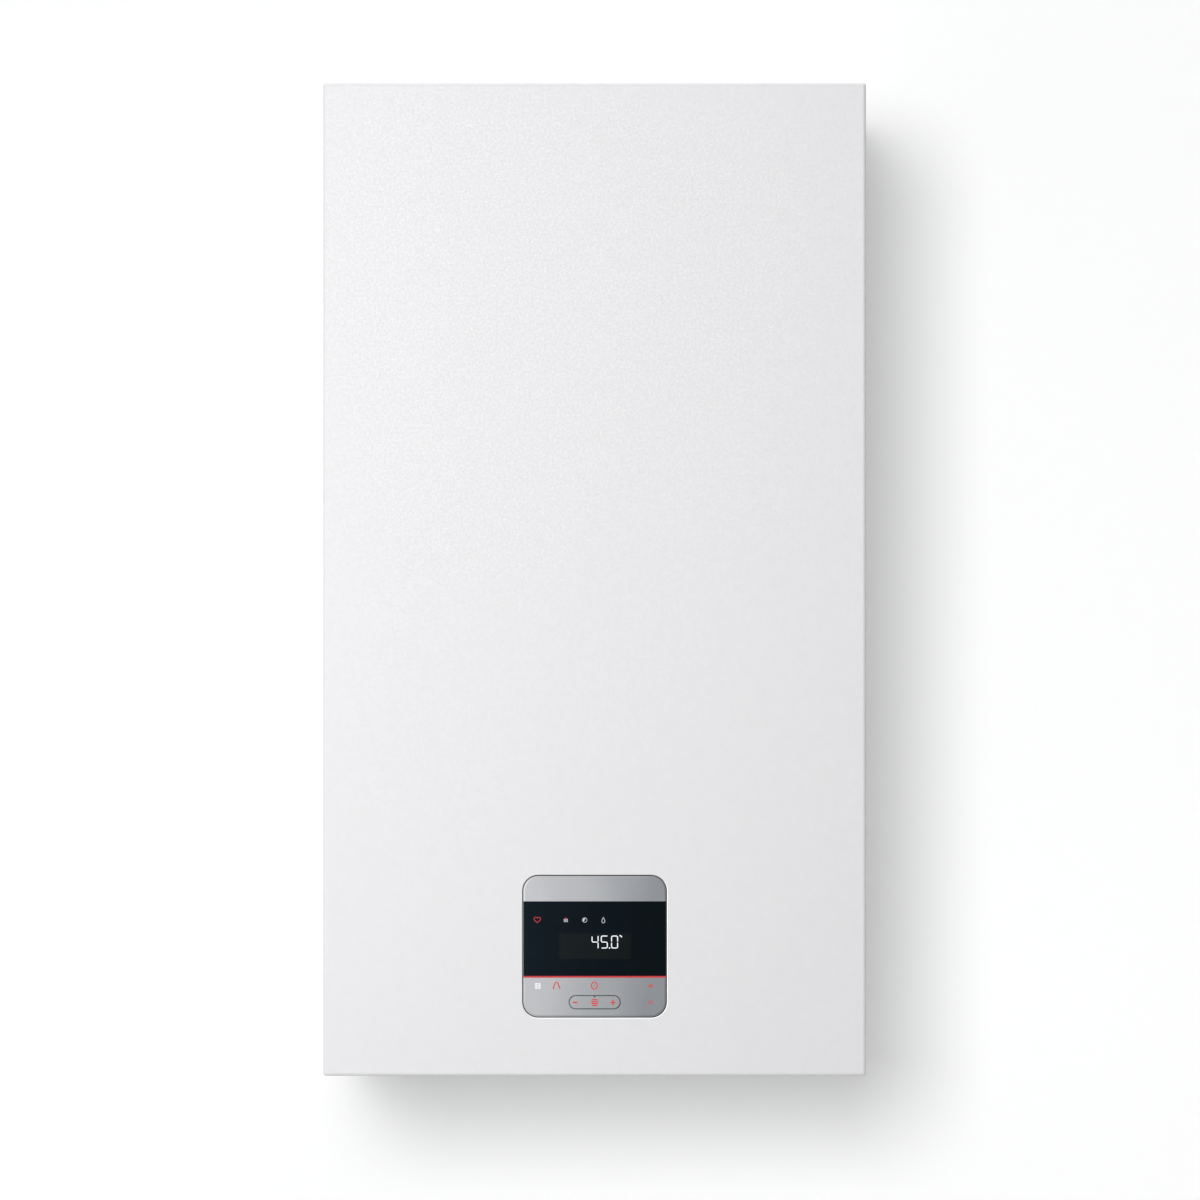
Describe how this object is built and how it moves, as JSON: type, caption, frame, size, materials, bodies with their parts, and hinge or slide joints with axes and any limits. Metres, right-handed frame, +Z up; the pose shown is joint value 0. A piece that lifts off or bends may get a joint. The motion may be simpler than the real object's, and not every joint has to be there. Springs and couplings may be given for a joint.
{
  "type": "wall-hung combi boiler",
  "caption": "White wall-hung condensing combi boiler with a small built-in hot-water store, removable front panel and tilting control box behind a framed display.",
  "frame": {"origin": "on the wall, midway between the two fixing holes of the hanging bracket", "axes": "+X to the viewer's right, +Y into the wall, +Z up; the front faces -Y"},
  "size_m": [0.4744, 0.57, 0.871],
  "materials": {
    "white_enamel": "powder coat, fine orange peel",
    "galvanised": "galvanised, matt",
    "zinc_parts": "zinc plated",
    "stainless": "stainless, brushed",
    "cast_aluminium": "sand cast, matt",
    "copper": "drawn copper, slightly dulled",
    "brass": "turned brass",
    "steel_pipe": "zinc plated pipe",
    "gas_valve_cast": "die cast, matt",
    "cast_iron": "cataphoretic coat, satin",
    "motor_black": "satin black",
    "vessel_red": "satin enamel",
    "foam_white": "expanded bead foam",
    "foam_grey": "faced foam",
    "ceramic_fibre": "fibre board",
    "electrode": "glazed insulator",
    "flue_plastic": "moulded",
    "grey_plastic": "moulded, fine texture",
    "box_plastic": "moulded, fine texture",
    "black_plastic": "moulded",
    "blue_plastic": "moulded",
    "red_plastic": "moulded",
    "impeller_plastic": "moulded",
    "rubber": "closed-cell rubber",
    "circuit_board": "solder-resist green",
    "fascia_silver": "satin silver, side-to-side sheen",
    "key_silver": "satin silver",
    "display_black": "polished black window",
    "accent_red": "bright red"
  },
  "bodies": {
    "casing": {"side_panel_left": "white_enamel", "side_panel_right": "white_enamel", "stud_bushes": "black_plastic", "chamber_seal": "rubber", "top_panel": "galvanised", "back_plate": "galvanised", "wall_bracket": "galvanised", "base_plate": "galvanised", "middle_frame": "galvanised", "chamber_floor": "galvanised", "casing_screws": "galvanised", "store_tanks": "stainless", "store_insulation": "foam_white", "exchanger_shell": "cast_aluminium", "exchanger_coil": "stainless", "burner_tube": "stainless", "burner_door": "cast_aluminium", "door_insulation": "ceramic_fibre", "door_nuts": "zinc_parts", "ignition_electrode": "electrode", "fan_housing": "cast_aluminium", "fan_motor": "motor_black", "venturi": "black_plastic", "air_silencer": "grey_plastic", "gas_valve": "gas_valve_cast", "gas_pipe": "steel_pipe", "flue_pipe": "flue_plastic", "flue_collar": "flue_plastic", "expansion_vessel": "vessel_red", "vessel_hose": "rubber", "plate_exchanger": "stainless", "flow_block": "brass", "flow_pipe": "copper", "diverter_motor": "grey_plastic", "return_block": "brass", "return_pipe": "copper", "pump_housing": "cast_iron", "pump_motor": "motor_black", "charge_pump": "motor_black", "hot_pipe": "copper", "cold_pipe": "copper", "condensate_trap": "grey_plastic", "condensate_hose": "rubber", "cable_gland": "grey_plastic"},
    "front_cover": {"front_panel": "white_enamel", "front_liner": "foam_grey"},
    "control_box": {"control_housing": "box_plastic", "control_cover": "grey_plastic", "main_board": "circuit_board", "display_board": "circuit_board", "fascia": "fascia_silver", "display_lens": "display_black", "accent_line": "accent_red"},
    "rocker_key": {"rocker_key": "key_silver"},
    "fan_impeller": {"fan_impeller": "impeller_plastic"},
    "pump_rotor": {"pump_rotor": "impeller_plastic"},
    "diverter_spindle": {"diverter_spindle": "impeller_plastic"},
    "relief_knob": {"relief_knob": "red_plastic"},
    "drain_knob": {"drain_knob": "black_plastic"},
    "fill_knob": {"fill_knob": "blue_plastic"}
  },
  "joints": [
    {"name": "front_cover_pull", "type": "slide", "parent": "casing", "child": "front_cover", "axis": [0, -1, 0], "range_m": [0, 0.45]},
    {"name": "control_box_tilt", "type": "hinge", "parent": "casing", "child": "control_box", "pos_m": [0, -0.464, -0.762], "axis": [1, 0, 0], "range_deg": [0, 90]},
    {"name": "rocker_key_press", "type": "hinge", "parent": "control_box", "child": "rocker_key", "pos_m": [0, -0.5608, -0.7362], "axis": [0, 0, 1], "range_deg": [-2.5, 2.5], "stiffness_Nm_per_rad": 0.3},
    {"name": "fan_spin", "type": "hinge", "parent": "casing", "child": "fan_impeller", "pos_m": [0.172, -0.4769, -0.1912], "axis": [0, -1, 0], "continuous": true},
    {"name": "pump_spin", "type": "hinge", "parent": "casing", "child": "pump_rotor", "pos_m": [0.15, -0.3294, -0.524], "axis": [0, -1, 0], "continuous": true},
    {"name": "diverter_shift", "type": "slide", "parent": "casing", "child": "diverter_spindle", "axis": [0, 0, 1], "range_m": [0, 0.008]},
    {"name": "relief_turn", "type": "hinge", "parent": "casing", "child": "relief_knob", "pos_m": [0.204, -0.3534, -0.65], "axis": [0, -1, 0], "range_deg": [0, 90]},
    {"name": "drain_turn", "type": "hinge", "parent": "casing", "child": "drain_knob", "pos_m": [-0.15, -0.3634, -0.7], "axis": [0, -1, 0], "range_deg": [0, 90]},
    {"name": "fill_turn", "type": "hinge", "parent": "casing", "child": "fill_knob", "pos_m": [0.1125, -0.3294, -0.738], "axis": [0, 0, -1], "range_deg": [0, 90]}
  ],
  "couplings": [
    {"joint": "control_box_tilt", "follows": "front_cover_pull", "rad_per_m": 3.49}
  ]
}
